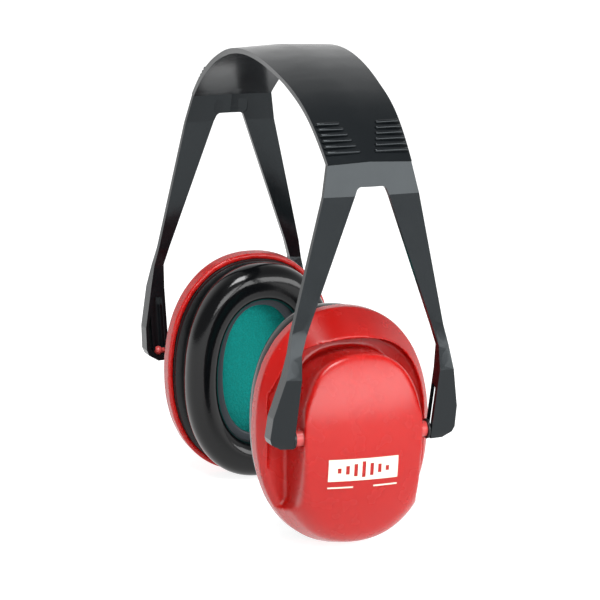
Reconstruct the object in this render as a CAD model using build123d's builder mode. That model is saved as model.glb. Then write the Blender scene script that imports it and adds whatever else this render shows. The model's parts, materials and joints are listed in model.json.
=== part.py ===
from build123d import *
import os
from math import copysign, cos, pi, radians, sin

# Earmuffs: one moulded headband with a fork at each end, and two cups that tilt on pins and slide in the
# forks' paddles. X runs from ear to ear, Y from back to front and Z up. All sizes are in millimetres.

# ---- driving dimensions -------------------------------------------------------------------------------

# Cup outline, an oval a little squarer than an ellipse. Depths run along the cup's outward normal from the
# pins.
cup_lean = 3.5  # degrees that the cups' tops lean towards the head
pin_x = 76.3  # pin axis, out from the middle of the head
rim_half_y = 36.4
rim_half_v = 47.4
oval_power = 2.2  # 2 would make the ovals true ellipses
oval_points = 16
rim_depth = 25.4  # rim edge, behind the pin axis
rim_wall_length = 6.5
floor_depth = 16.5  # groove's floor, behind the pin axis
crown_height = 9.0  # outermost point of the dome, in front of the pin axis
crown_radius = 82.0
crown_round = 13.0
crown_draft = 6.0  # how much the cup's body narrows from the rim wall to the crown's height
shell_wall = 2.2

# Centre dome, and the arched groove around it that the fork's paddles stand in.
dome_half_y = 24.6
dome_arch_v = 32.0
groove_arch_y = 33.0
groove_arch_v = 36.5
arch_power = 2.5  # 2 would make the arches' tops half ellipses
arch_points = 8
groove_bottom_v = -31.0
groove_end_round = 5.0
ledge_depth = 6.0  # ledge's crest above the groove, behind the pin axis
ledge_margin = 1.0

# Pins and bushes.
pin_radius = 3.1
pin_head_radius = 3.5
pin_head_length = 1.6
pin_head_gap = 0.25  # from the dome wall, which curves in a little above the pins
pin_tail_radius = 1.1
pin_ball_radius = 1.9
pin_ball_y = 32.6
bush_flange_radius = 4.0
bush_flange_length = 1.0
bush_sleeve_radius = 1.8
running_clearance = 0.05
side_clearance = 0.1

# Cushion and what is inside the cup.
carrier_thickness = 2.0
carrier_inset = 2.5
carrier_lip_length = 4.0
carrier_lip_wall = 1.6
cushion_inset_y = 3.4
cushion_inset_v = 0.9
cushion_thickness = 16.6
cushion_hole_y = 18.5
cushion_hole_v = 30.0
cushion_face_round = 6.8
cushion_back_round = 2.5
skin_thickness = 0.8
soft_clearance = 0.1
liner_thickness = 5.6
liner_gap = 0.3

# Headband: heights are above the pin axis, and x is the outer skin.
band_thickness = 2.2
band_crown_height = 140.2
band_quarter_x = 44.9  # a point of the arch about half way down
band_quarter_drop = 8.0  # how far below the crown it is
band_end_x = 81.5  # ridge where the arch ends
band_end_drop = 31.0
band_end_slope = 44.0  # degrees below level at the arch's end
band_ridge = 0.9  # how far the middle stands above the edges
band_half_y_crown = 20.3
band_half_y_middle = 18.6
band_half_y_end = 17.3

# Fork: the web below the arch, two arms, and a hollow paddle at the end of each arm.
web_height = 12.8
web_half_y = 19.7
web_ridge_x = 84.4
web_edge_x = 83.3
window_rise = 3.4  # from the web's bottom to the window's top
window_half_y = 5.6  # at the window's top
window_low_half_y = 7.0  # at the web's bottom
window_round = 2.2
arm_thickness = 2.8  # at the arm's low end
arm_low_height = 43.3
arm_low_inner = (84.9, 26.0)  # x and y of the arm's inner corner at its low end
arm_low_outer = (82.9, 31.4)
joggle_thickness = 3.6  # where the joggle starts, below the arm
joggle_height = 35.6
joggle_inner = (86.1, 28.4)
joggle_outer = (84.9, 33.0)
paddle_top = 26.0
paddle_inner_y = 28.6
paddle_outer_y = 38.6
paddle_top_width = 6.2
paddle_full_height = 10.0  # the paddle reaches its full width here, and keeps it down to the next height
paddle_corner_height = 1.0
paddle_corner_low = -1.2
paddle_corner_cut = 0.9
paddle_foot_width = 5.2
paddle_twist = 0.4  # how far the outer face turns out at its inner edge, and in at its outer edge
paddle_upper_cut = 0.3
paddle_depth = 6.6
paddle_face = 3.6  # paddle's outer face, in front of the pin axis
paddle_slope = 15.0  # degrees that the paddles lean in towards their lower ends
paddle_wall = 1.4
paddle_bottom = -3.4
channel_top = 22.5
channel_bottom = -2.2
channel_rib_y = 35.2
channel_rib_width = 0.9
slide_travel = 18.0

# Grip ribs on the outside of the arch, in rows near each end.
rib_rows = 6
rib_width = 1.2
rib_height = 0.5
rib_first = 5.0  # along the arch from its end to the lowest row
rib_pitch = 2.9
rib_outer_margin = 0.9
rib_inner_y = 4.0
rib_inner_step = 0.9

# Recess in the web's inner face.
recess_width = 15.0
recess_height = 6.4
recess_depth = 0.7
recess_round = 2.0

# ---- values worked out from them ----------------------------------------------------------------------

lean = radians(cup_lean)
slope = radians(paddle_slope)
pin_z = rim_half_v * cos(lean) + rim_depth * sin(lean)  # puts the rim's lowest point at the origin's height

cup_plane = Plane(origin=(pin_x, 0, pin_z), x_dir=(0, 1, 0), z_dir=(cos(lean), 0, sin(lean)))
paddle_plane = Plane(origin=(pin_x, 0, pin_z), x_dir=(0, 1, 0), z_dir=(cos(slope), 0, -sin(slope)))
slot_plane = Plane(origin=(pin_x, 0, pin_z), x_dir=(sin(slope), 0, cos(slope)), z_dir=(0, 1, 0))
side_plane = Plane(origin=(pin_x, 0, pin_z), x_dir=(1, 0, 0), z_dir=(0, 1, 0))

rim_wall_depth = rim_depth - rim_wall_length
quarter_height = band_crown_height - band_quarter_drop
end_height = band_crown_height - band_end_drop
web_bottom = end_height - web_height
window_top = web_bottom + window_rise
ledge_v = groove_arch_v + ledge_margin
ledge_y = ledge_v - (rim_half_v - rim_half_y)
cushion_half_y = rim_half_y - cushion_inset_y
cushion_half_v = rim_half_v - cushion_inset_v
lip_y = rim_half_y - shell_wall - side_clearance
lip_v = rim_half_v - shell_wall - side_clearance
carrier_back = rim_depth + carrier_thickness
cushion_face = carrier_back + cushion_thickness
bush_face_y = paddle_inner_y - side_clearance
bush_back_y = bush_face_y - bush_flange_length
pin_shoulder_y = bush_back_y - running_clearance
pin_head_y = dome_half_y - shell_wall - pin_head_gap
sleeve_end_y = paddle_inner_y + paddle_wall


def squared_point(half_y, half_v, power, turn):
    """A point of an oval at a turn in radians. The higher the power, the squarer the oval."""
    across = cos(turn)
    upward = sin(turn)
    return (
        half_y * copysign(abs(across) ** (2 / power), across),
        half_v * copysign(abs(upward) ** (2 / power), upward),
    )


def oval(half_y, half_v):
    """An oval outline from its two half sizes."""
    turns = [2 * pi * index / oval_points for index in range(oval_points)]
    with BuildSketch() as outline:
        with BuildLine():
            Spline(*[squared_point(half_y, half_v, oval_power, turn) for turn in turns], periodic=True)
        make_face()
    return outline.sketch


def oval_loft(depth_a, half_a, depth_b, half_b):
    """Joins two ovals, each given by its depth behind the pins and its two half sizes."""
    with BuildPart() as frustum:
        with BuildSketch(cup_plane.offset(-depth_a)):
            add(oval(*half_a))
        with BuildSketch(cup_plane.offset(-depth_b)):
            add(oval(*half_b))
        loft()
    return frustum.part


def arched_outline(half_y, arch_v):
    """An outline with an arched top on straight sides that run off the cup's lower edge."""
    turns = [pi * index / arch_points for index in range(1, arch_points)]
    arch_tops = [squared_point(half_y, arch_v, arch_power, turn) for turn in turns]
    with BuildSketch() as outline:
        with BuildLine():
            Spline((half_y, 0), *arch_tops, (-half_y, 0), tangents=[(0, 1), (0, -1)])
            Polyline((-half_y, 0), (-half_y, -rim_half_v), (half_y, -rim_half_v), (half_y, 0))
        make_face()
    return outline.sketch


def body_outline(inset):
    """The dome, with all of the cup below the groove's lower ends, drawn in by the inset."""
    bottom_v = groove_bottom_v - inset
    with BuildSketch() as outline:
        add(arched_outline(dome_half_y - inset, dome_arch_v - inset))
        with Locations((0, bottom_v - rim_half_v)):
            Rectangle(2.4 * rim_half_y, 2 * rim_half_v)
        inner_corners = outline.vertices().filter_by_position(
            Axis.Y, bottom_v - 0.01, bottom_v + 0.01
        ).filter_by_position(Axis.X, -dome_half_y - 0.01, dome_half_y + 0.01)
        fillet(inner_corners, groove_end_round)
    return outline.sketch


def crown_form(inset):
    """A tapered oval block under a shallow sphere, with a large round, drawn in by the inset."""
    half_y = rim_half_y - inset
    half_v = rim_half_v - inset
    with BuildPart() as crown:
        top = (half_y - crown_draft, half_v - crown_draft)
        add(oval_loft(rim_wall_depth, (half_y, half_v), -crown_height, top))
        with Locations(cup_plane.offset(crown_height - crown_radius)):
            Sphere(crown_radius - inset, mode=Mode.INTERSECT)
        fillet(crown.faces().filter_by(GeomType.SPHERE).edges(), crown_round - inset)
    return crown.part


def body_form(inset):
    """The dome and the cup's lower part, under the crown, drawn in by the inset."""
    with BuildPart() as body:
        add(crown_form(inset))
        with BuildSketch(cup_plane.offset(-rim_wall_depth)):
            add(body_outline(inset))
        extrude(amount=rim_wall_depth + crown_height, mode=Mode.INTERSECT)
    return body.part


def base_form():
    """The rim wall, and the slope above it up to the ledge's crest, with the arched groove cut in."""
    with BuildPart() as base:
        with BuildSketch(cup_plane.offset(-rim_depth)):
            add(oval(rim_half_y, rim_half_v))
        extrude(amount=rim_wall_length)
        add(oval_loft(rim_wall_depth, (rim_half_y, rim_half_v), ledge_depth, (ledge_y, ledge_v)))
        with BuildSketch(cup_plane.offset(-floor_depth)):
            add(arched_outline(groove_arch_y, groove_arch_v))
        extrude(amount=floor_depth, mode=Mode.SUBTRACT)
    return base.part


def ring_form(inset):
    """The cushion's ring, drawn in by the inset all round."""
    with BuildPart() as ring:
        with BuildSketch(cup_plane.offset(-cushion_face + inset)):
            add(oval(cushion_half_y - inset, cushion_half_v - inset))
            add(oval(cushion_hole_y + inset, cushion_hole_v + inset), mode=Mode.SUBTRACT)
        extrude(amount=cushion_thickness - soft_clearance - 2 * inset)
        outward = Axis(cup_plane.origin, cup_plane.z_dir)
        flats = ring.faces().filter_by(GeomType.PLANE).sort_by(outward)
        fillet(flats[0].edges(), cushion_face_round - inset)
        flats = ring.faces().filter_by(GeomType.PLANE).sort_by(outward)
        fillet(flats[-1].edges(), cushion_back_round - inset)
    return ring.part


def strip_section(inner, outer, depth):
    """A flat four-cornered section of the fork: two corners on the skin and two behind them."""
    back = Vector(-depth, 0, 0)
    corners = [inner, outer, outer + back, inner + back]
    across = outer - inner
    plane = Plane(origin=inner, x_dir=across, z_dir=across.cross(back))
    with BuildSketch(plane) as section:
        with BuildLine():
            Polyline(*[plane.to_local_coords(corner) for corner in corners], close=True)
        make_face()
    return section.sketch


def at_pins(x, y, height):
    """A point of the headband from its x, its y and its height above the pin axis."""
    return Vector(x, y, pin_z + height)


def paddle_x(height):
    """Where the paddle's sloping outer face stands at a height above the pin axis."""
    return pin_x + paddle_face / cos(slope) + height * sin(slope) / cos(slope)


def paddle_section(height, outer_y):
    """A section of the paddle at a height above the pin axis, out to the given y."""
    return strip_section(
        at_pins(paddle_x(height) + paddle_twist, paddle_inner_y, height),
        at_pins(paddle_x(height) - paddle_twist, outer_y, height),
        paddle_depth,
    )


def save(piece, name):
    """Labels a finished piece and writes its STEP file."""
    piece.label = name
    export_step(piece, f"parts/{name}.step")


def save_pair(piece, name):
    """Writes a piece of the right cup, and its mirror image for the left cup."""
    save(piece, f"right_{name}")
    save(mirror(piece, about=Plane.YZ), f"left_{name}")


os.makedirs("parts", exist_ok=True)

# ---- cup shell ----------------------------------------------------------------------------------------

with BuildPart() as cup_shell:
    add(base_form())
    add(body_form(0))
    # The hollow: the rim's bore up to the groove's floor, and the inside of the dome.
    with BuildSketch(cup_plane.offset(-rim_depth)):
        add(oval(rim_half_y - shell_wall, rim_half_v - shell_wall))
    extrude(amount=rim_depth - floor_depth - shell_wall, mode=Mode.SUBTRACT)
    add(body_form(shell_wall), mode=Mode.SUBTRACT)
    # The pins' holes through the dome's side walls.
    with BuildSketch(side_plane.offset(-dome_half_y - 1)):
        Circle(pin_radius + running_clearance)
    extrude(amount=2 * dome_half_y + 2, mode=Mode.SUBTRACT)

save_pair(cup_shell.part, "cup_shell")

# ---- pins and bushes ----------------------------------------------------------------------------------

with BuildPart() as pin:
    with BuildSketch(side_plane.offset(pin_head_y)):
        Circle(pin_head_radius)
    extrude(amount=-pin_head_length)
    with BuildSketch(side_plane.offset(pin_head_y)):
        Circle(pin_radius)
    extrude(amount=pin_shoulder_y - pin_head_y)
    with BuildSketch(side_plane.offset(pin_shoulder_y)):
        Circle(pin_tail_radius)
    extrude(amount=pin_ball_y - pin_shoulder_y)
    with Locations((pin_x, pin_ball_y, pin_z)):
        Sphere(pin_ball_radius)

save_pair(pin.part, "front_pin")
save_pair(mirror(pin.part, about=Plane.XZ), "rear_pin")

with BuildPart() as bush:
    with BuildSketch(side_plane.offset(bush_back_y)):
        Circle(bush_flange_radius)
    extrude(amount=bush_flange_length)
    with BuildSketch(side_plane.offset(bush_face_y)):
        Circle(bush_sleeve_radius)
    extrude(amount=sleeve_end_y - bush_face_y)
    with BuildSketch(side_plane.offset(bush_back_y)):
        Circle(pin_tail_radius + running_clearance)
    extrude(amount=sleeve_end_y - bush_back_y, mode=Mode.SUBTRACT)

save_pair(bush.part, "front_bush")
save_pair(mirror(bush.part, about=Plane.XZ), "rear_bush")

# ---- cushion and its carrier --------------------------------------------------------------------------

with BuildPart() as cushion_carrier:
    with BuildSketch(cup_plane.offset(-carrier_back)):
        add(oval(rim_half_y - carrier_inset, rim_half_v - carrier_inset))
        add(oval(cushion_hole_y + cushion_back_round, cushion_hole_v + cushion_back_round), mode=Mode.SUBTRACT)
    extrude(amount=carrier_thickness)
    with BuildSketch(cup_plane.offset(-rim_depth)):
        add(oval(lip_y, lip_v))
        add(oval(lip_y - carrier_lip_wall, lip_v - carrier_lip_wall), mode=Mode.SUBTRACT)
    extrude(amount=carrier_lip_length)

save_pair(cushion_carrier.part, "cushion_carrier")

with BuildPart() as cushion_skin:
    add(ring_form(0))
    add(ring_form(skin_thickness), mode=Mode.SUBTRACT)

save_pair(cushion_skin.part, "cushion_skin")

with BuildPart() as cushion_foam:
    add(ring_form(skin_thickness + soft_clearance))

save_pair(cushion_foam.part, "cushion_foam")

# ---- foam liner inside the cup ------------------------------------------------------------------------

liner_front = rim_depth - liner_gap
liner_y = lip_y - carrier_lip_wall - liner_gap
liner_v = lip_v - carrier_lip_wall - liner_gap

with BuildPart() as foam_liner:
    with BuildSketch(cup_plane.offset(-liner_front)):
        add(oval(liner_y, liner_v))
    extrude(amount=liner_thickness)

save_pair(foam_liner.part, "foam_liner")

# ---- headband -----------------------------------------------------------------------------------------

end_tangent = (cos(radians(band_end_slope)), 0, -sin(radians(band_end_slope)))
start_tangent = (end_tangent[0], 0, -end_tangent[2])

with BuildLine() as arch:
    Spline(
        at_pins(-band_end_x, 0, end_height),
        at_pins(-band_quarter_x, 0, quarter_height),
        at_pins(0, 0, band_crown_height),
        at_pins(band_quarter_x, 0, quarter_height),
        at_pins(band_end_x, 0, end_height),
        tangents=[start_tangent, end_tangent],
    )
arch_edge = arch.edge()


def arch_plane(distance):
    """Plane across the arch at a distance from its right end, with its Z axis along the arch."""
    share = 1 - distance / arch_edge.length
    return Plane(origin=arch_edge @ share, x_dir=(0, 1, 0), z_dir=arch_edge % share)


with BuildPart() as band:
    with BuildSketch(arch_plane(arch_edge.length)):
        with BuildLine():
            Polyline(
                (-band_half_y_crown, -band_ridge),
                (0, 0),
                (band_half_y_crown, -band_ridge),
                (band_half_y_crown, -band_ridge - band_thickness),
                (0, -band_thickness),
                (-band_half_y_crown, -band_ridge - band_thickness),
                close=True,
            )
        make_face()
    sweep(path=arch_edge)
    # Side view of the band: it narrows from the crown to its ends.
    with BuildSketch(Plane.YZ):
        with BuildLine():
            Polyline(
                (-band_half_y_end, pin_z),
                (-band_half_y_end, pin_z + end_height),
                (-band_half_y_middle, pin_z + quarter_height),
                (-band_half_y_crown, pin_z + band_crown_height),
                (band_half_y_crown, pin_z + band_crown_height),
                (band_half_y_middle, pin_z + quarter_height),
                (band_half_y_end, pin_z + end_height),
                (band_half_y_end, pin_z),
                close=True,
            )
        make_face()
    extrude(amount=2 * band_end_x, both=True, mode=Mode.INTERSECT)

with BuildPart() as ribs:
    for row in range(rib_rows):
        plane = arch_plane(rib_first + row * rib_pitch)
        outer_y = band_half_y_end - rib_outer_margin
        inner_y = rib_inner_y + row * rib_inner_step
        with BuildSketch(plane.offset(-rib_width / 2)):
            with BuildLine():
                Polyline(
                    (inner_y, -band_ridge),
                    (inner_y, rib_height - band_ridge * inner_y / band_half_y_crown),
                    (outer_y, rib_height - band_ridge * outer_y / band_half_y_crown),
                    (outer_y, -band_ridge - rib_height),
                    close=True,
                )
            make_face()
        extrude(amount=rib_width)
    mirror(about=Plane.XZ)
    mirror(about=Plane.YZ)

web_top_section = strip_section(
    at_pins(band_end_x, 0, end_height),
    at_pins(band_end_x - band_ridge, band_half_y_end, end_height - band_ridge),
    band_thickness,
)
web_bottom_section = strip_section(
    at_pins(web_ridge_x, 0, web_bottom),
    at_pins(web_edge_x, web_half_y, web_bottom),
    band_thickness,
)

with BuildPart() as web:
    loft(sections=[web_top_section, web_bottom_section], ruled=True)
    mirror(about=Plane.XZ)
    # Top of the window between the arms, with rounded corners.
    with BuildSketch(Plane.YZ) as window:
        with BuildLine():
            Polyline(
                (-window_low_half_y, pin_z + web_bottom),
                (-window_half_y, pin_z + window_top),
                (window_half_y, pin_z + window_top),
                (window_low_half_y, pin_z + web_bottom),
                close=True,
            )
        make_face()
        fillet(window.vertices().group_by(Axis.Y)[-1], window_round)
    extrude(amount=2 * web_ridge_x, mode=Mode.SUBTRACT)

window_x = web_ridge_x - (web_ridge_x - web_edge_x) * window_low_half_y / web_half_y
arm_sections = [
    strip_section(
        at_pins(window_x, window_low_half_y, web_bottom),
        at_pins(web_edge_x, web_half_y, web_bottom),
        band_thickness,
    ),
    strip_section(
        at_pins(*arm_low_inner, arm_low_height),
        at_pins(*arm_low_outer, arm_low_height),
        arm_thickness,
    ),
    strip_section(
        at_pins(*joggle_inner, joggle_height),
        at_pins(*joggle_outer, joggle_height),
        joggle_thickness,
    ),
    paddle_section(paddle_top, paddle_inner_y + paddle_top_width),
]

with BuildPart() as arm:
    loft(sections=arm_sections, ruled=True)

paddle_sections = [
    paddle_section(paddle_top, paddle_inner_y + paddle_top_width),
    paddle_section(paddle_full_height, paddle_outer_y - paddle_upper_cut),
    paddle_section(paddle_corner_height, paddle_outer_y),
    paddle_section(paddle_corner_low, paddle_outer_y - paddle_corner_cut),
    paddle_section(paddle_bottom, paddle_inner_y + paddle_foot_width),
]

with BuildPart() as paddle:
    loft(sections=paddle_sections, ruled=True)
    # The channel, open towards the head, with a rib along it.
    channel_floor = paddle_face - paddle_wall - paddle_twist / 2
    with BuildSketch(paddle_plane.offset(channel_floor)):
        with BuildLine():
            Polyline(
                (sleeve_end_y, channel_bottom),
                (sleeve_end_y, channel_top),
                (paddle_inner_y + paddle_top_width - paddle_wall, channel_top),
                (paddle_outer_y - paddle_wall, paddle_full_height),
                (paddle_outer_y - paddle_wall, paddle_corner_height),
                (paddle_inner_y + paddle_foot_width, channel_bottom),
                close=True,
            )
        make_face()
        with Locations((channel_rib_y, channel_top / 2)):
            Rectangle(channel_rib_width, channel_top, mode=Mode.SUBTRACT)
    extrude(amount=-2 * paddle_depth, mode=Mode.SUBTRACT)
    # The slot that the bush slides in.
    with BuildSketch(slot_plane.offset(paddle_inner_y - 1)):
        with Locations((slide_travel / 2, 0)):
            SlotCenterToCenter(slide_travel, 2 * (bush_sleeve_radius + running_clearance))
    extrude(amount=paddle_wall + 2, mode=Mode.SUBTRACT)

with BuildPart() as fork:
    add(web.part)
    for piece in (arm.part, paddle.part):
        add(piece)
        add(mirror(piece, about=Plane.XZ, mode=Mode.PRIVATE))
    # Shallow recess in the web's inner face.
    recess_middle = at_pins(0, 0, (web_bottom + end_height) / 2)
    skin_x = (web_ridge_x + band_end_x) / 2
    web_lean = (web_ridge_x - band_end_x) / (end_height - web_bottom)
    with BuildSketch(
        Plane(
            origin=(skin_x - band_thickness - band_ridge + recess_depth, 0, recess_middle.Z),
            x_dir=(0, 1, 0),
            z_dir=(1, 0, web_lean),
        )
    ):
        RectangleRounded(recess_width, recess_height, recess_round)
    extrude(amount=-2 * band_thickness, mode=Mode.SUBTRACT)

with BuildPart() as headband:
    add(band.part)
    add(ribs.part)
    add(fork.part)
    add(mirror(fork.part, about=Plane.YZ, mode=Mode.PRIVATE))

save(headband.part, "headband")
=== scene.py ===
"""Dresses the hearing protection earmuffs and sets them in a plain studio."""

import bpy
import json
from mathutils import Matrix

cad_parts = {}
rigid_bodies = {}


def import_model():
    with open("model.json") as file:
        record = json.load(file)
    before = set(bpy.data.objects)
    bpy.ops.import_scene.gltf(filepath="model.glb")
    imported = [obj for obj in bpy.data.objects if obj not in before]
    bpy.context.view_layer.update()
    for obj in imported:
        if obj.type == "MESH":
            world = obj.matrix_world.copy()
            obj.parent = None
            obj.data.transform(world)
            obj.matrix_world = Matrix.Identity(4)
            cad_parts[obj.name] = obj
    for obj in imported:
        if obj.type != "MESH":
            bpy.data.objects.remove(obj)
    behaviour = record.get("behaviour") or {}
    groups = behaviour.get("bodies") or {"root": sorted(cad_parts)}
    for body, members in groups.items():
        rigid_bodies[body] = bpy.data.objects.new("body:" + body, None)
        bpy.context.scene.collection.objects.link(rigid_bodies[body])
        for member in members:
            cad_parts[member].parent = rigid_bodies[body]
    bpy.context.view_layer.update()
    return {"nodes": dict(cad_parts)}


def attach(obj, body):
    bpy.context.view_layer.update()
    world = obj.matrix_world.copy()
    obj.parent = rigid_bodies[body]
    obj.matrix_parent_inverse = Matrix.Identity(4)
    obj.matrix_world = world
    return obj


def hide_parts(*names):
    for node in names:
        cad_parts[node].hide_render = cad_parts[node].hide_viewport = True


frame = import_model()

import json
import logging
from collections.abc import Callable
from dataclasses import dataclass, field
from enum import Enum
from itertools import product
from math import atan2, copysign, cos, pi, radians, sin

import bpy
from mathutils import Matrix, Vector

log = logging.getLogger("earmuffs")

MM = 0.001
PIN_HEIGHT = 48.862
FLAT_ANGLE = 0.6
NOISE_MIDDLE = (0.3, 0.7)
MIX_COLOUR_INPUTS = (0, 6, 7)
MIX_COLOUR_OUTPUT = 2
ROUND_SMOOTH_ANGLE = 60.0


class Side(Enum):
    """The two cups. The value is the sign of their x."""

    RIGHT = 1
    LEFT = -1

    @property
    def prefix(self) -> str:
        """The side's word as it starts node and body names."""
        return self.name.lower()


# ---- the cup's own frame ---------------------------------------------------------------------


@dataclass(frozen=True)
class CupFrame:
    """Turns places on a cup into places in the row frame, for either side.

    A place on a cup is given by y, by v, up along the cup, and by w, out along the cup's outward
    normal from the pins. All three are in millimetres.
    """

    side: Side
    lean: float = radians(3.5)
    pin_x: float = 76.3
    pin_z: float = PIN_HEIGHT

    def point(self, y: float, v: float, w: float) -> Vector:
        """A place on the cup, in metres in the row frame.

        Args:
            y: Across the cup.
            v: Up along the cup.
            w: Outward from the pins.

        Returns:
            The place in the row frame.
        """
        x = self.pin_x + w * cos(self.lean) - v * sin(self.lean)
        z = self.pin_z + w * sin(self.lean) + v * cos(self.lean)
        return Vector((self.side.value * x, y, z)) * MM

    def local(self, point: Vector) -> tuple[float, float, float]:
        """A place in the row frame as it lies on the cup.

        Args:
            point: The place, in metres.

        Returns:
            Its y, v and w, in millimetres.
        """
        x = self.side.value * point.x / MM - self.pin_x
        z = point.z / MM - self.pin_z
        up = z * cos(self.lean) - x * sin(self.lean)
        out = x * cos(self.lean) + z * sin(self.lean)
        return point.y / MM, up, out

    def outward(self) -> Vector:
        """The cup's outward normal."""
        return Vector((self.side.value * cos(self.lean), 0.0, sin(self.lean)))


# ---- finishes --------------------------------------------------------------------------------
# Scales are waves or cells to a metre, and depths are metres. Ranges multiply what they belong to.


Rgb = tuple[float, float, float]
Rgba = tuple[float, float, float, float]
Socketed = bpy.types.NodeSocket | float | Rgba


class NodeSketch:
    """A short way to write a material's nodes."""

    def __init__(self, name: str) -> None:
        """Starts a material that has a principled shader.

        Args:
            name: The material's name.
        """
        self.material = bpy.data.materials.new(name)
        self.material.use_nodes = True
        self.tree = self.material.node_tree
        self.shader = self.tree.nodes["Principled BSDF"]
        self.place = self.tree.nodes.new("ShaderNodeTexCoord").outputs["Object"]

    def add(self, kind: str, links: dict | None = None, **settings) -> bpy.types.Node:
        """Adds a node, sets what is named on it and links its inputs.

        Args:
            kind: The node's type.
            links: Input names or numbers, each with a socket to link or a value to set.
            **settings: The node's own properties.

        Returns:
            The new node.
        """
        node = self.tree.nodes.new(kind)
        for key, value in settings.items():
            setattr(node, key, value)
        for key, value in (links or {}).items():
            if isinstance(value, bpy.types.NodeSocket):
                self.tree.links.new(value, node.inputs[key])
            else:
                node.inputs[key].default_value = value
        return node

    def noise(self, scale: float, detail: float = 2.0) -> bpy.types.NodeSocket:
        """Noise over the piece.

        Args:
            scale: How many waves there are to a metre.
            detail: The number of finer layers.

        Returns:
            The noise's value, about 0 to 1.
        """
        links = {"Vector": self.place, "Scale": scale, "Detail": detail, "Roughness": 0.5}
        return self.add("ShaderNodeTexNoise", links).outputs["Fac"]

    def pores(self, scale: float, feature: str = "F1") -> bpy.types.NodeSocket:
        """Rounded cells over the piece.

        Args:
            scale: How many cells there are to a metre.
            feature: F1 for sharp walls between the cells, SMOOTH_F1 for soft ones.

        Returns:
            The distance to the nearest cell's middle.
        """
        links = {"Vector": self.place, "Scale": scale}
        return self.add("ShaderNodeTexVoronoi", links, feature=feature).outputs["Distance"]

    def ramp(self, value: bpy.types.NodeSocket, low: float, high: float) -> bpy.types.NodeSocket:
        """Spreads a noise's middle range over two values.

        Args:
            value: The noise.
            low: The result where the noise is low.
            high: The result where the noise is high.

        Returns:
            The spread value.
        """
        links = {
            "Value": value,
            "From Min": NOISE_MIDDLE[0],
            "From Max": NOISE_MIDDLE[1],
            "To Min": low,
            "To Max": high,
        }
        return self.add("ShaderNodeMapRange", links).outputs["Result"]

    def mix(self, share: Socketed, first: Socketed, second: Socketed) -> bpy.types.NodeSocket:
        """Mixes two colours.

        Args:
            share: How much of the second colour there is, as a socket or a number.
            first: The first colour, as a socket or four numbers.
            second: The second colour, as a socket or four numbers.

        Returns:
            The mixed colour.
        """
        links = dict(zip(MIX_COLOUR_INPUTS, (share, first, second)))
        return self.add("ShaderNodeMix", links, data_type="RGBA").outputs[MIX_COLOUR_OUTPUT]

    def bump(
        self, height: bpy.types.NodeSocket, depth: float, under: bpy.types.NodeSocket | None = None
    ) -> bpy.types.NodeSocket:
        """Raises the surface by a height.

        Args:
            height: The height, 0 to 1.
            depth: How much the height counts for, in metres.
            under: Another bump to add this one to.

        Returns:
            The bumped normal.
        """
        links = {"Height": height, "Distance": depth, "Strength": 1.0}
        if under is not None:
            links["Normal"] = under
        return self.add("ShaderNodeBump", links).outputs["Normal"]

    def wire(self, **sockets) -> None:
        """Links or sets the shader's inputs. An underscore in a name stands for a space."""
        for key, value in sockets.items():
            name = key.replace("_", " ")
            if isinstance(value, bpy.types.NodeSocket):
                self.tree.links.new(value, self.shader.inputs[name])
            else:
                self.shader.inputs[name].default_value = value


def shade(colour: Rgb, factor: float) -> Rgba:
    """A colour made lighter or darker.

    Args:
        colour: Red, green and blue.
        factor: What they are multiplied by.

    Returns:
        The new colour with full alpha.
    """
    return (*[min(1.0, channel * factor) for channel in colour], 1.0)


@dataclass(frozen=True)
class MouldedPlastic:
    """Injection-moulded plastic: even colour, fine spark-eroded grain and faint handling haze."""

    name: str
    colour: Rgb
    roughness: float
    grain_depth: float = 0.00001
    grain_scale: float = 2600.0
    variation: float = 0.06
    index: float = 1.5
    gloss_tint: Rgba = (1.0, 1.0, 1.0, 1.0)
    glow_through: float = 0.0
    glow_depth: float = 0.006
    glow_reach: Rgb = (1.0, 0.1, 0.07)
    cloud_scale: float = 38.0
    haze_scale: float = 120.0
    haze_range: tuple[float, float] = (0.88, 1.14)

    def build(self) -> bpy.types.Material:
        """Makes the material.

        Returns:
            The material.
        """
        sketch = NodeSketch(self.name)
        darker = shade(self.colour, 1 - self.variation)
        lighter = shade(self.colour, 1 + self.variation)
        colour = sketch.mix(sketch.noise(self.cloud_scale, 3.0), darker, lighter)
        haze = sketch.noise(self.haze_scale)
        cleanest, haziest = (self.roughness * share for share in self.haze_range)
        roughness = sketch.ramp(haze, cleanest, haziest)
        normal = sketch.bump(sketch.noise(self.grain_scale), self.grain_depth)
        sketch.wire(Base_Color=colour, Roughness=roughness, Normal=normal, IOR=self.index)
        sketch.wire(Specular_Tint=self.gloss_tint, Subsurface_Weight=self.glow_through)
        sketch.wire(Subsurface_Scale=self.glow_depth, Subsurface_Radius=self.glow_reach)
        return sketch.material


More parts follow.
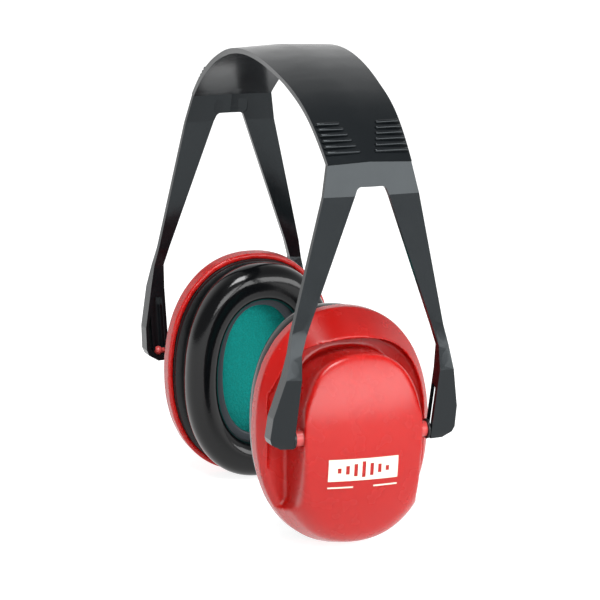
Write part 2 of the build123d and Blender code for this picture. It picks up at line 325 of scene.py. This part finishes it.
@dataclass(frozen=True)
class Vinyl:
    """Soft glossy vinyl film with a faint skin texture and slow waves."""

    name: str
    colour: Rgb
    roughness: float = 0.13
    index: float = 1.38
    cloud_scale: float = 60.0
    cloud_range: tuple[float, float] = (0.8, 1.25)
    haze_scale: float = 150.0
    haze_range: tuple[float, float] = (0.85, 1.2)
    pebble_scale: float = 1500.0
    pebble_depth: float = 0.000012
    wave_scale: float = 70.0
    wave_depth: float = 0.00012

    def build(self) -> bpy.types.Material:
        """Makes the material.

        Returns:
            The material.
        """
        sketch = NodeSketch(self.name)
        darker, lighter = (shade(self.colour, factor) for factor in self.cloud_range)
        colour = sketch.mix(sketch.noise(self.cloud_scale, 3.0), darker, lighter)
        haze = sketch.noise(self.haze_scale, 3.0)
        cleanest, haziest = (self.roughness * share for share in self.haze_range)
        roughness = sketch.ramp(haze, cleanest, haziest)
        pebbles = sketch.pores(self.pebble_scale, "SMOOTH_F1")
        normal = sketch.bump(pebbles, self.pebble_depth)
        normal = sketch.bump(sketch.noise(self.wave_scale), self.wave_depth, normal)
        sketch.wire(Base_Color=colour, Roughness=roughness, Normal=normal, IOR=self.index)
        return sketch.material


@dataclass(frozen=True)
class OpenFoam:
    """Open-cell foam: pores of two sizes, painted shade in the small pores' hollows and a soft
    dusty sheen.
    """

    name: str
    colour: Rgb
    pore_scale: float = 1700.0
    pore_depth: float = 0.00012
    pore_range: tuple[float, float] = (0.72, 1.12)
    cell_scale: float = 700.0
    cell_depth: float = 0.0002
    cloud_scale: float = 45.0
    worn_factor: float = 0.9

    def build(self) -> bpy.types.Material:
        """Makes the material.

        Returns:
            The material.
        """
        sketch = NodeSketch(self.name)
        pores = sketch.pores(self.pore_scale)
        cells = sketch.pores(self.cell_scale)
        # Painted shade: the colour is darkest in the small pores' hollows, where the bump dips,
        # and lightest on their rims.
        darker, lighter = (shade(self.colour, factor) for factor in self.pore_range)
        colour = sketch.mix(sketch.ramp(pores, 0.0, 1.0), darker, lighter)
        worn = shade(self.colour, self.worn_factor)
        colour = sketch.mix(sketch.noise(self.cloud_scale), colour, worn)
        normal = sketch.bump(cells, self.cell_depth)
        normal = sketch.bump(pores, self.pore_depth, normal)
        sketch.wire(Base_Color=colour, Roughness=0.95, Normal=normal)
        sketch.wire(Sheen_Weight=0.05, Sheen_Roughness=0.6, Specular_IOR_Level=0.2)
        return sketch.material


@dataclass(frozen=True)
class PrintInk:
    """Pad-printed ink, a little uneven at the scale of the pad."""

    name: str
    colour: Rgb
    patch_scale: float = 500.0
    patch_range: tuple[float, float] = (0.95, 1.04)
    grain_scale: float = 2400.0
    grain_depth: float = 0.000008
    haze_scale: float = 260.0
    roughness_range: tuple[float, float] = (0.4, 0.52)

    def build(self) -> bpy.types.Material:
        """Makes the material.

        Returns:
            The material.
        """
        sketch = NodeSketch(self.name)
        darker, lighter = (shade(self.colour, factor) for factor in self.patch_range)
        colour = sketch.mix(sketch.noise(self.patch_scale, 3.0), darker, lighter)
        normal = sketch.bump(sketch.noise(self.grain_scale), self.grain_depth)
        roughness = sketch.ramp(sketch.noise(self.haze_scale), *self.roughness_range)
        sketch.wire(Base_Color=colour, Roughness=roughness, Normal=normal)
        return sketch.material


@dataclass(frozen=True)
class PaleFloor:
    """The studio's light table: matt white acrylic, lit faintly from below."""

    name: str
    colour: Rgb
    glow: float

    def build(self) -> bpy.types.Material:
        """Makes the material.

        Returns:
            The material.
        """
        sketch = NodeSketch(self.name)
        darker, lighter = shade(self.colour, 0.995), shade(self.colour, 1.0)
        sketch.wire(Base_Color=sketch.mix(sketch.noise(3.0), darker, lighter), Roughness=0.9)
        sketch.wire(Emission_Color=(1.0, 1.0, 1.0, 1.0), Emission_Strength=self.glow)
        return sketch.material


class Finishes:
    """Every finish of the earmuffs, made once."""

    def __init__(self) -> None:
        """Makes the materials."""
        self.headband = MouldedPlastic(
            "headband_plastic",
            (0.0028, 0.0037, 0.0045),
            0.21,
            index=1.37,
            gloss_tint=(0.88, 0.96, 1.0, 1.0),
        ).build()
        self.cup = MouldedPlastic(
            "cup_plastic",
            (0.33, 0.006, 0.0045),
            0.26,
            grain_depth=0.000002,
            grain_scale=900.0,
            variation=0.03,
            index=1.4,
            glow_through=0.55,
        ).build()
        self.pin = MouldedPlastic("pin_plastic", (0.42, 0.045, 0.042), 0.36).build()
        self.bush = MouldedPlastic("bush_plastic", (0.006, 0.006, 0.007), 0.3, index=1.4).build()
        self.carrier = MouldedPlastic(
            "carrier_plastic", (0.004, 0.0045, 0.005), 0.3, index=1.38
        ).build()
        self.vinyl = Vinyl("cushion_vinyl", (0.002, 0.0022, 0.0026)).build()
        # Painted light: the lip is the skin's own vinyl welded flat, but its colour is made
        # lighter than the skin's to stand in for the light that its flat face catches.
        self.lip = Vinyl("cushion_lip_vinyl", (0.02, 0.026, 0.032), roughness=0.34).build()
        self.filling = OpenFoam("cushion_filling", (0.42, 0.4, 0.34)).build()
        self.liner = OpenFoam("liner_foam", (0.0, 0.24, 0.215)).build()
        self.print = PrintInk("cream_print", (0.62, 0.56, 0.47)).build()


# ---- mesh helpers ----------------------------------------------------------------------------


def deselect_all() -> None:
    """Leaves nothing selected, in object mode."""
    for item in bpy.context.view_layer.objects:
        item.select_set(False)


def make_active(piece: bpy.types.Object) -> None:
    """Selects one object alone and makes it the active one.

    Args:
        piece: The object.
    """
    deselect_all()
    piece.select_set(True)
    bpy.context.view_layer.objects.active = piece


def apply_modifier(piece: bpy.types.Object, kind: str, **settings) -> None:
    """Adds a modifier, sets it and applies it.

    Args:
        piece: The object to change.
        kind: The modifier's type.
        **settings: The modifier's properties.
    """
    make_active(piece)
    modifier = piece.modifiers.new(kind.title(), kind)
    for key, value in settings.items():
        setattr(modifier, key, value)
    bpy.ops.object.modifier_apply(modifier=modifier.name)


def edit_all_faces(piece: bpy.types.Object, change: Callable[[], set[str]]) -> None:
    """Runs one edit on the whole of a piece.

    Args:
        piece: The object to change.
        change: The edit, as it is called in edit mode with everything selected.
    """
    make_active(piece)
    bpy.ops.object.mode_set(mode="EDIT")
    bpy.ops.mesh.select_all(action="SELECT")
    change()
    bpy.ops.object.mode_set(mode="OBJECT")


def copy_of_node(node: str, name: str) -> bpy.types.Object:
    """A copy of a CAD node's mesh, with its doubled points merged.

    Args:
        node: The node's name.
        name: The copy's name.

    Returns:
        The new object, at the origin.
    """
    mesh = frame["nodes"][node].data.copy()
    mesh.materials.clear()
    piece = bpy.data.objects.new(name, mesh)
    bpy.context.scene.collection.objects.link(piece)
    edit_all_faces(piece, lambda: bpy.ops.mesh.remove_doubles(threshold=1e-6))
    return piece


def dissolve_flats(piece: bpy.types.Object) -> None:
    """Joins triangles that lie in one plane."""
    angle = radians(FLAT_ANGLE)
    edit_all_faces(piece, lambda: bpy.ops.mesh.dissolve_limited(angle_limit=angle))


def round_edges(piece: bpy.types.Object, width: float, steps: int, angle: float) -> None:
    """Rounds a piece's sharp edges.

    Args:
        piece: The object to change.
        width: The rounding's width in millimetres.
        steps: How many faces there are across it.
        angle: The least angle, in degrees, of an edge that is rounded.
    """
    apply_modifier(
        piece,
        "BEVEL",
        width=width * MM,
        segments=steps,
        limit_method="ANGLE",
        angle_limit=radians(angle),
        miter_outer="MITER_ARC",
    )


def smooth_shade(piece: bpy.types.Object, angle: float) -> None:
    """Shades a piece smooth up to an angle.

    Args:
        piece: The object.
        angle: The angle in degrees.
    """
    make_active(piece)
    bpy.ops.object.shade_smooth_by_angle(angle=radians(angle))


def dress(
    piece: bpy.types.Object, material: bpy.types.Material, body: str
) -> None:
    """Gives a piece its finish and lets it ride on its body.

    Args:
        piece: The object.
        material: Its only material.
        body: The CAD body that carries it.
    """
    piece.data.materials.clear()
    piece.data.materials.append(material)
    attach(piece, body)
    log.info("%s: %d faces, rides on %s", piece.name, len(piece.data.polygons), body)


# ---- headband --------------------------------------------------------------------------------


@dataclass
class Headband:
    """The one-piece headband: arch, grip ribs, webs, arms and paddles."""

    finishes: Finishes
    edge_round: float = 0.42
    edge_steps: int = 3
    edge_angle: float = 25.0
    facet_angle: float = 7.0
    normal_weight: int = 60
    arch_start: float = 158.6
    corner_angle: float = 30.0

    def soften_arch(self, piece: bpy.types.Object) -> None:
        """Shades the arch's skin smooth along its run, so that only its corners stay sharp.

        Args:
            piece: The headband's mesh.
        """
        sides: dict[tuple[int, int], list[Vector]] = {}
        for polygon in piece.data.polygons:
            for key in polygon.edge_keys:
                sides.setdefault(key, []).append(polygon.normal)
        for edge in piece.data.edges:
            normals = sides.get(edge.key, [])
            lowest = min(piece.data.vertices[index].co.z for index in edge.vertices)
            if len(normals) != 2 or lowest < self.arch_start * MM:
                continue
            if normals[0].angle(normals[1]) < radians(self.corner_angle):
                edge.use_edge_sharp = False

    def build(self) -> None:
        """Rounds the moulding's edges, keeps its facets crisp and dresses it."""
        piece = copy_of_node("headband", "headband_moulding")
        dissolve_flats(piece)
        smooth_shade(piece, self.facet_angle)
        self.soften_arch(piece)
        round_edges(piece, self.edge_round, self.edge_steps, self.edge_angle)
        apply_modifier(
            piece,
            "WEIGHTED_NORMAL",
            mode="FACE_AREA_WITH_ANGLE",
            weight=self.normal_weight,
            keep_sharp=True,
        )
        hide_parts("headband")
        dress(piece, self.finishes.headband, "headband")
        GripRibs(self.finishes).build(piece)


@dataclass
class GripRibs:
    """Rounded ribs laid across the arch's skin near its ends.

    Lengths are in millimetres. A row has a rib on each side of the ridge, from inner_y out to near
    the arch's edge, and each row further up starts and ends a little further out.
    """

    finishes: Finishes
    rows: int = 6
    first: float = 5.0
    pitch: float = 2.9
    radius: float = 0.8
    sink: float = 0.62
    inner_y: float = 3.7
    inner_step: float = 0.9
    arch_half_y: float = 17.3
    edge_margin: float = 1.2
    outer_step: float = 0.05
    arch_end: tuple[float, float] = (81.5, 158.062)
    arch_end_slope: float = 44.0
    stride: float = 0.1
    steadiness: float = 0.9
    ray_start: float = 3.0
    ridge_offset: float = 0.2

    def row_planes(self, band: bpy.types.Object) -> list[tuple[Vector, Vector]]:
        """Walks up the arch's skin from its end.

        Args:
            band: The finished headband.

        Returns:
            Each row's place on the ridge and the direction along the arch there.
        """
        slope = radians(self.arch_end_slope)
        along = Vector((-cos(slope), 0.0, sin(slope)))
        spot = Vector((self.arch_end[0], 0.0, self.arch_end[1]))
        found, walked, row = [], 0.0, 0
        while row < self.rows:
            ahead = spot + along * self.stride
            outward = Vector((along.z, 0.0, -along.x))
            hit = self.skin_point(band, ahead, outward, self.ridge_offset)
            hit = Vector((hit.x, 0.0, hit.z)) / MM
            step = (hit - spot).normalized()
            along = (along * self.steadiness + step * (1 - self.steadiness)).normalized()
            walked += (hit - spot).length
            spot = hit
            if walked >= self.first + row * self.pitch:
                found.append((spot.copy(), along.copy()))
                row += 1
        return found

    def skin_point(
        self, band: bpy.types.Object, spot: Vector, outward: Vector, y: float
    ) -> Vector:
        """The skin's place straight across from the ridge.

        Args:
            band: The finished headband.
            spot: The place on the ridge, in millimetres.
            outward: The direction away from the arch's skin.
            y: How far across it lies.

        Returns:
            The place in metres.
        """
        start = (spot + outward * self.ray_start) * MM
        start.y = y * MM
        _, hit, _, _ = band.ray_cast(start, -outward)
        return hit

    def build(self, band: bpy.types.Object) -> None:
        """Lays the ribs on both ends of the arch.

        Args:
            band: The finished headband.
        """
        ribs = []
        for row, (spot, along) in enumerate(self.row_planes(band)):
            outward = Vector((along.z, 0.0, -along.x))
            inner_y = self.inner_y + row * self.inner_step
            outer_y = self.arch_half_y - self.edge_margin + self.outer_step * row
            lift = outward * (self.radius - self.sink) * MM
            ends = [self.skin_point(band, spot, outward, y) + lift for y in (inner_y, outer_y)]
            for x_sign, y_sign in product((1, -1), repeat=2):
                mirror = Matrix.Diagonal((x_sign, y_sign, 1))
                ribs.append(self.capsule(*(mirror @ end for end in ends)))
        deselect_all()
        for rib in ribs:
            rib.select_set(True)
        bpy.context.view_layer.objects.active = ribs[0]
        bpy.ops.object.join()
        ribs[0].name = "headband_grip_ribs"
        smooth_shade(ribs[0], ROUND_SMOOTH_ANGLE)
        dress(ribs[0], self.finishes.headband, "headband")

    def capsule(self, start: Vector, end: Vector) -> bpy.types.Object:
        """One rib with round ends.

        Args:
            start: One end's middle, in metres.
            end: The other end's middle.

        Returns:
            The rib, at the origin.
        """
        deselect_all()
        bpy.ops.mesh.primitive_uv_sphere_add(segments=16, ring_count=10, radius=self.radius * MM)
        rib = bpy.context.object
        turn = (end - start).to_track_quat("Z", "Y")
        for vertex in rib.data.vertices:
            base = end if vertex.co.z > 0 else start
            vertex.co = base + turn @ vertex.co
        return rib


# ---- ear cups --------------------------------------------------------------------------------


@dataclass
class EarCup:
    """One cup's hard parts: shell, pins, bushes, cushion carrier, liner and print."""

    finishes: Finishes
    side: Side
    shell_grid: float = 0.55
    shell_softening: int = 8
    dome_softening: int = 60
    dome_start: float = -7.0
    dome_fade: float = 3.0
    pin_margin: float = 7.0
    pin_fade: float = 4.0
    small_round: float = 0.25
    small_steps: int = 2
    small_edge_angle: float = 40.0
    small_smooth_angle: float = 35.0
    place: CupFrame = field(init=False)

    def __post_init__(self) -> None:
        """Finds the cup's frame."""
        self.place = CupFrame(self.side)

    @property
    def body(self) -> str:
        """The CAD body that the cup rides on."""
        return f"{self.side.prefix}_cup"

    def build(self) -> None:
        """Builds every hard part of the cup."""
        shell = self.build_shell()
        self.build_small_parts()
        PrintedPanel(self.finishes, self.side).build(shell)

    def dome_share(self, point: Vector) -> float:
        """How far a place belongs to the dome's skin, clear of the pins.

        Args:
            point: The place, in metres.

        Returns:
            0 off the dome or beside a pin, 1 on the dome, and between them where it fades.
        """
        _, v, w = self.place.local(point)
        clear_of_pins = min(1.0, max(0.0, (abs(v) - self.pin_margin) / self.pin_fade))
        on_dome = min(1.0, max(0.0, (w - self.dome_start) / self.dome_fade))
        return clear_of_pins * on_dome

    def build_shell(self) -> bpy.types.Object:
        """The shell with soft moulded edges.

        Returns:
            The finished shell.
        """
        node = f"{self.side.prefix}_cup_shell"
        piece = copy_of_node(node, f"{self.side.prefix}_cup_moulding")
        grid = self.shell_grid * 1.0
        apply_modifier(
            piece, "REMESH", mode="VOXEL", voxel_size=grid * MM, use_smooth_shade=True
        )
        apply_modifier(piece, "SMOOTH", factor=0.5, iterations=self.shell_softening)
        dome = piece.vertex_groups.new(name="dome")
        for vertex in piece.data.vertices:
            share = self.dome_share(vertex.co)
            if share > 0:
                dome.add([vertex.index], share, "REPLACE")
        softening = self.dome_softening // 1
        apply_modifier(
            piece, "SMOOTH", factor=0.5, iterations=softening, vertex_group="dome"
        )
        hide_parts(node)
        dress(piece, self.finishes.cup, self.body)
        return piece

    def build_small_parts(self) -> None:
        """Pins, bushes, carrier and liner, with their edges rounded."""
        slider = f"{self.side.prefix}_slider"
        parts = (
            ("front_pin", self.finishes.pin, self.body, "pin_plastic"),
            ("rear_pin", self.finishes.pin, self.body, "pin_plastic"),
            ("front_bush", self.finishes.bush, slider, "bush_plastic"),
            ("rear_bush", self.finishes.bush, slider, "bush_plastic"),
            ("cushion_carrier", self.finishes.carrier, self.body, "carrier_plastic"),
            ("foam_liner", self.finishes.liner, self.body, "liner_foam"),
        )
        for part, material, body, slot in parts:
            node = f"{self.side.prefix}_{part}"
            piece = copy_of_node(node, f"{node}_finished")
            dissolve_flats(piece)
            round_edges(piece, self.small_round, self.small_steps, self.small_edge_angle)
            smooth_shade(piece, self.small_smooth_angle)
            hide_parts(node)
            dress(piece, material, body)


# ---- print on the domes ----------------------------------------------------------------------


@dataclass
class PrintedPanel:
    """The cream print on a dome: a plain panel with a row of level bars, over a thin rule."""

    finishes: Finishes
    side: Side
    width: float = 28.8
    height: float = 9.0
    centre_y: float = -1.2
    centre_v: float = -12.6
    rule_v: float = -19.6
    rule_height: float = 0.7
    rule_gap: float = 4.2
    cell: float = 0.3
    bar_width: float = 1.5
    bar_pitch: float = 3.3
    bar_heights: tuple[float, ...] = (2.1, 3.6, 5.1, 6.6, 5.1, 3.6, 2.1)
    film: float = 0.1
    lift: float = 0.02
    ray_start: float = 20.0
    smooth_angle: float = 30.0

    @property
    def reach(self) -> float:
        """The whole print's height, from the panel's top edge to the rule's lower edge."""
        return self.height / 2 - (self.rule_v - self.centre_v) + self.rule_height / 2

    def on_sheet(self, point: Vector) -> tuple[float, float]:
        """A place of the unit sheet as it lies on the print.

        Args:
            point: The place, each coordinate from -0.5 to 0.5.

        Returns:
            How far it is across and up from the panel's middle, in millimetres.
        """
        return point.x * self.width, self.height / 2 - (0.5 - point.y) * self.reach

    def keeps(self, across: float, up: float) -> bool:
        """Tells whether the print covers a place.

        Args:
            across: How far it is from the panel's middle.
            up: How high it is above the panel's middle.

        Returns:
            True if there is ink there.
        """
        rule = self.rule_v - self.centre_v
        if abs(up - rule) < self.rule_height / 2:
            return self.rule_gap < abs(across) < self.width / 2
        if abs(up) > self.height / 2:
            return False
        for index, height in enumerate(self.bar_heights):
            middle = (index - (len(self.bar_heights) - 1) / 2) * self.bar_pitch
            if abs(across - middle) < self.bar_width / 2 and abs(up) < height / 2:
                return False
        return True

    def build(self, shell: bpy.types.Object) -> None:
        """Lays the print on the dome.

        Args:
            shell: The finished cup shell.
        """
        place = CupFrame(self.side)
        columns, rows = round(self.width / self.cell), round(self.reach / self.cell)
        deselect_all()
        bpy.ops.mesh.primitive_grid_add(x_subdivisions=columns, y_subdivisions=rows, size=1.0)
        piece = bpy.context.object
        piece.name = f"{self.side.prefix}_printed_panel"
        bare = [
            polygon.index
            for polygon in piece.data.polygons
            if not self.keeps(*self.on_sheet(polygon.center))
        ]
        for vertex in piece.data.vertices:
            across, up = self.on_sheet(vertex.co)
            y = self.centre_y + self.side.value * across
            start = place.point(y, self.centre_v + up, self.ray_start)
            _, spot, normal, _ = shell.ray_cast(start, -place.outward())
            vertex.co = spot + normal * self.lift * MM
        make_active(piece)
        bpy.ops.object.mode_set(mode="EDIT")
        bpy.ops.mesh.select_all(action="DESELECT")
        bpy.ops.object.mode_set(mode="OBJECT")
        for index in bare:
            piece.data.polygons[index].select = True
        bpy.ops.object.mode_set(mode="EDIT")
        bpy.ops.mesh.select_mode(type="FACE")
        bpy.ops.mesh.delete(type="FACE")
        bpy.ops.object.mode_set(mode="OBJECT")
        if piece.data.polygons[0].normal.dot(place.outward()) < 0:
            edit_all_faces(piece, bpy.ops.mesh.flip_normals)
        apply_modifier(piece, "SOLIDIFY", thickness=self.film * MM, offset=1.0)
        smooth_shade(piece, self.smooth_angle)
        dress(piece, self.finishes.print, f"{self.side.prefix}_cup")


# ---- cushions --------------------------------------------------------------------------------


@dataclass(frozen=True)
class OvalTube:
    """A closed oval ring with a rounded section, laid round a cup's opening.

    The section runs from an inner oval to an outer one, and from one depth to another behind the
    pins. The skew draws the inner side's foot in towards the opening.
    """

    inner: tuple[float, float]
    outer: tuple[float, float]
    near: float
    far: float
    section_power: float = 2.3
    skew: float = 0.0
    oval_power: float = 2.2
    turns: int = 112
    steps: int = 28

    @staticmethod
    def rounded(angle: float, power: float) -> tuple[float, float]:
        """A point on a rounded square of half size one.

        Args:
            angle: Where it lies, in radians.
            power: 2 gives a circle, and more is squarer.

        Returns:
            Its two coordinates.
        """
        across, up = cos(angle), sin(angle)
        sharpness = 2 / power
        return copysign(abs(across) ** sharpness, across), copysign(abs(up) ** sharpness, up)

    def build(self, name: str, place: CupFrame) -> bpy.types.Object:
        """Makes the ring.

        Args:
            name: The piece's name.
            place: The cup's frame.

        Returns:
            The ring, at the origin.
        """
        deselect_all()
        bpy.ops.mesh.primitive_torus_add(
            major_segments=self.turns,
            minor_segments=self.steps,
            major_radius=1.0,
            minor_radius=0.25,
        )
        piece = bpy.context.object
        piece.name = name
        for vertex in piece.data.vertices:
            radius = (vertex.co.x**2 + vertex.co.y**2) ** 0.5
            turn = atan2(vertex.co.y, vertex.co.x)
            along, deep = self.rounded(atan2(vertex.co.z, radius - 1.0), self.section_power)
            y, v = self.rounded(turn, self.oval_power)
            share = (1 + along) / 2
            inward = self.skew * (1 - share) * (1 - deep) / 2
            half_y = self.inner[0] + share * (self.outer[0] - self.inner[0]) - inward
            half_v = self.inner[1] + share * (self.outer[1] - self.inner[1]) - inward
            depth = (self.near + self.far) / 2 - deep * (self.far - self.near) / 2
            vertex.co = place.point(y * half_y, v * half_v, -depth)
        edit_all_faces(piece, lambda: bpy.ops.mesh.normals_make_consistent(inside=False))
        return piece


@dataclass
class EarCushion:
    """One cushion: a vinyl skin over foam, swollen by a cloth simulation, and its welded lip."""

    finishes: Finishes
    side: Side
    swell: float = 1.1
    seat_depth: float = 1.2
    pressure: float = 4.0
    frames: int = 20
    ring: OvalTube = OvalTube(
        inner=(20.4, 32.2), outer=(32.6, 46.1), near=27.6, far=43.4, skew=2.2
    )
    filling: OvalTube = OvalTube(
        inner=(23.0, 34.4), outer=(31.0, 44.5), near=29.0, far=42.0, turns=64, steps=16
    )
    lip: OvalTube = OvalTube(
        inner=(15.6, 27.9), outer=(22.4, 35.2), near=33.6, far=35.2, section_power=4.0, steps=16
    )

    @property
    def body(self) -> str:
        """The CAD body that the cushion rides on."""
        return f"{self.side.prefix}_cup"

    def inflate(self, piece: bpy.types.Object, place: CupFrame) -> None:
        """Swells the skin by a cloth simulation whose result is applied.

        Args:
            piece: The ring.
            place: The cup's frame.
        """
        before = [vertex.co.copy() for vertex in piece.data.vertices]
        held = piece.vertex_groups.new(name="held")
        seat_end = self.ring.near + self.seat_depth
        seat = [
            vertex.index for vertex in piece.data.vertices if -place.local(vertex.co)[2] < seat_end
        ]
        held.add(seat, 1.0, "REPLACE")
        make_active(piece)
        cloth = piece.modifiers.new("Swelling", "CLOTH")
        cloth.settings.quality = 6
        cloth.settings.mass = 0.3
        cloth.settings.tension_stiffness = 12.0
        cloth.settings.compression_stiffness = 12.0
        cloth.settings.bending_stiffness = 0.4
        cloth.settings.use_pressure = True
        cloth.settings.uniform_pressure_force = self.pressure
        cloth.settings.vertex_group_mass = "held"
        cloth.settings.effector_weights.gravity = 0.0
        for frame_number in range(1, self.frames + 1):
            bpy.context.scene.frame_set(frame_number)
        bpy.ops.object.modifier_apply(modifier=cloth.name)
        bpy.context.scene.frame_set(1)
        for vertex, start in zip(piece.data.vertices, before):
            move = vertex.co - start
            if move.length > self.swell * MM:
                vertex.co = start + move.normalized() * self.swell * MM

    def build(self) -> None:
        """Builds the skin, its lip and the foam inside it."""
        place = CupFrame(self.side)
        skin = self.ring.build(f"{self.side.prefix}_cushion_cover", place)
        self.inflate(skin, place)
        lip = self.lip.build(f"{self.side.prefix}_cushion_lip", place)
        foam = self.filling.build(f"{self.side.prefix}_cushion_filling", place)
        for piece in (skin, lip):
            apply_modifier(piece, "SUBSURF", levels=1, render_levels=1)
        for piece in (skin, lip, foam):
            smooth_shade(piece, ROUND_SMOOTH_ANGLE)
        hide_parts(f"{self.side.prefix}_cushion_skin")
        dress(skin, self.finishes.vinyl, self.body)
        dress(lip, self.finishes.lip, self.body)
        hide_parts(f"{self.side.prefix}_cushion_foam")
        dress(foam, self.finishes.filling, self.body)


# ---- studio ----------------------------------------------------------------------------------


@dataclass(frozen=True)
class Softbox:
    """One rectangular soft light, placed by two angles in degrees and a distance in metres."""

    name: str
    azimuth: float
    elevation: float
    distance: float
    width: float
    height: float
    radiance: float


@dataclass
class Studio:
    """A pale floor, white walls, two softboxes and the camera.

    The camera's distance and shifts are in millimetres from the pins' middle. All angles are in
    degrees.
    """

    azimuth: float = 20.49
    elevation: float = 12.93
    roll: float = 1.0
    distance: float = 1634.0
    shift_right: float = 3.007
    shift_up: float = 35.757
    lens: float = 240.0
    sensor: float = 36.0
    clip_start: float = 0.05
    floor_size: float = 30.0
    floor_colour: Rgb = (0.35, 0.35, 0.35)
    floor_glow: float = 0.86
    aim_height: float = 0.1
    wall_top: float = 20.0
    ceiling_start: float = 60.0
    wall_radiance: float = 0.95
    ceiling_radiance: float = 0.4
    flag_azimuth: float = -75.0
    flag_reach: tuple[float, float] = (0.3, 0.8)
    flag_share: float = 0.25
    softboxes: tuple[Softbox, ...] = (
        Softbox("key_softbox", 11.0, 16.0, 1.2, 2.05, 0.54, 6.0),
        Softbox("top_softbox", -28.0, 62.0, 1.2, 0.6, 0.5, 19.0),
    )

    def camera_axes(self) -> tuple[Vector, Vector, Vector]:
        """The camera's right, up and forward directions.

        Returns:
            The three unit vectors.
        """
        azimuth, elevation = radians(self.azimuth), radians(self.elevation)
        roll = radians(self.roll)
        forward = Vector(
            (-cos(azimuth) * cos(elevation), sin(azimuth) * cos(elevation), -sin(elevation))
        )
        level = forward.cross(Vector((0, 0, 1))).normalized()
        above = level.cross(forward)
        right = cos(roll) * level + sin(roll) * above
        up = -sin(roll) * level + cos(roll) * above
        return right, up, forward

    def build_camera(self) -> None:
        """Sets the camera up."""
        right, up, forward = self.camera_axes()
        centre = self.shift_right * right + self.shift_up * up - self.distance * forward
        centre.z += PIN_HEIGHT
        bpy.ops.object.camera_add()
        camera = bpy.context.object
        turn = Matrix((right, up, -forward)).transposed().to_4x4()
        camera.matrix_world = Matrix.Translation(centre * MM) @ turn
        camera.data.lens = self.lens
        camera.data.sensor_width = self.sensor
        camera.data.clip_start = self.clip_start
        bpy.context.scene.camera = camera

    def build_floor(self) -> None:
        """A wide flat floor under the earmuffs."""
        bpy.ops.mesh.primitive_plane_add(size=self.floor_size, location=(0, 0, 0))
        floor = bpy.context.object
        floor.name = "studio_floor"
        finish = PaleFloor("pale_floor", self.floor_colour, self.floor_glow)
        floor.data.materials.append(finish.build())

    def add_softbox(self, box: Softbox) -> None:
        """Adds one rectangular light that faces the middle of the earmuffs.

        Args:
            box: Its place, size and brightness.
        """
        azimuth, elevation = radians(box.azimuth), radians(box.elevation)
        outward = Vector(
            (cos(azimuth) * cos(elevation), sin(azimuth) * cos(elevation), sin(elevation))
        )
        centre = Vector((0, 0, self.aim_height)) + box.distance * outward
        bpy.ops.object.light_add(type="AREA", location=centre)
        light = bpy.context.object
        light.name = box.name
        light.data.shape = "RECTANGLE"
        light.data.size, light.data.size_y = box.width, box.height
        light.data.energy = box.radiance * pi * box.width * box.height
        light.rotation_euler = (-outward).to_track_quat("-Z", "Y").to_euler()

    @staticmethod
    def fade(
        tree: bpy.types.NodeTree,
        value: bpy.types.NodeSocket,
        start: tuple[float, float],
        end: tuple[float, float],
    ) -> bpy.types.NodeSocket:
        """Eases from one value to another.

        Args:
            tree: The world's nodes.
            value: What the fade follows.
            start: The value where the fade starts and the result there.
            end: The value where the fade ends and the result there.

        Returns:
            The result.
        """
        node = tree.nodes.new("ShaderNodeMapRange")
        node.interpolation_type = "SMOOTHSTEP"
        tree.links.new(value, node.inputs["Value"])
        for name, (at, result) in (("Min", start), ("Max", end)):
            node.inputs[f"From {name}"].default_value = at
            node.inputs[f"To {name}"].default_value = result
        return node.outputs["Result"]

    def build_air(self) -> None:
        """White walls around the earmuffs, a dimmer ceiling and a dark flag beside the camera."""
        world = bpy.data.worlds.new("studio_air")
        world.use_nodes = True
        tree = world.node_tree
        place = tree.nodes.new("ShaderNodeTexCoord").outputs["Generated"]
        split = tree.nodes.new("ShaderNodeSeparateXYZ")
        tree.links.new(place, split.inputs["Vector"])
        walls = self.fade(
            tree,
            split.outputs["Z"],
            (sin(radians(self.wall_top)), self.wall_radiance),
            (sin(radians(self.ceiling_start)), self.ceiling_radiance),
        )
        flag = tree.nodes.new("ShaderNodeVectorMath")
        flag.operation = "DOT_PRODUCT"
        tree.links.new(place, flag.inputs[0])
        azimuth = radians(self.flag_azimuth)
        flag.inputs[1].default_value = (cos(azimuth), sin(azimuth), 0.0)
        dimmed = self.fade(
            tree,
            flag.outputs["Value"],
            (self.flag_reach[0], 1.0),
            (self.flag_reach[1], self.flag_share),
        )
        strength = tree.nodes.new("ShaderNodeMath")
        strength.operation = "MULTIPLY"
        tree.links.new(walls, strength.inputs[0])
        tree.links.new(dimmed, strength.inputs[1])
        background = tree.nodes["Background"]
        tree.links.new(strength.outputs["Value"], background.inputs["Strength"])
        background.inputs["Color"].default_value = (1, 1, 1, 1)
        bpy.context.scene.world = world

    def build(self) -> None:
        """Sets up the camera, the floor and the lights."""
        self.build_camera()
        self.build_floor()
        self.build_air()
        for box in self.softboxes:
            self.add_softbox(box)
        bpy.context.scene.view_settings.view_transform = "Standard"


def main() -> None:
    """Builds the studio and every piece of the earmuffs in order."""
    logging.basicConfig(level=logging.INFO, format="%(name)s: %(message)s")
    deselect_all()
    Studio().build()
    finishes = Finishes()
    Headband(finishes).build()
    for side in Side:
        EarCup(finishes, side).build()
        EarCushion(finishes, side).build()


if __name__ == "__main__":
    main()
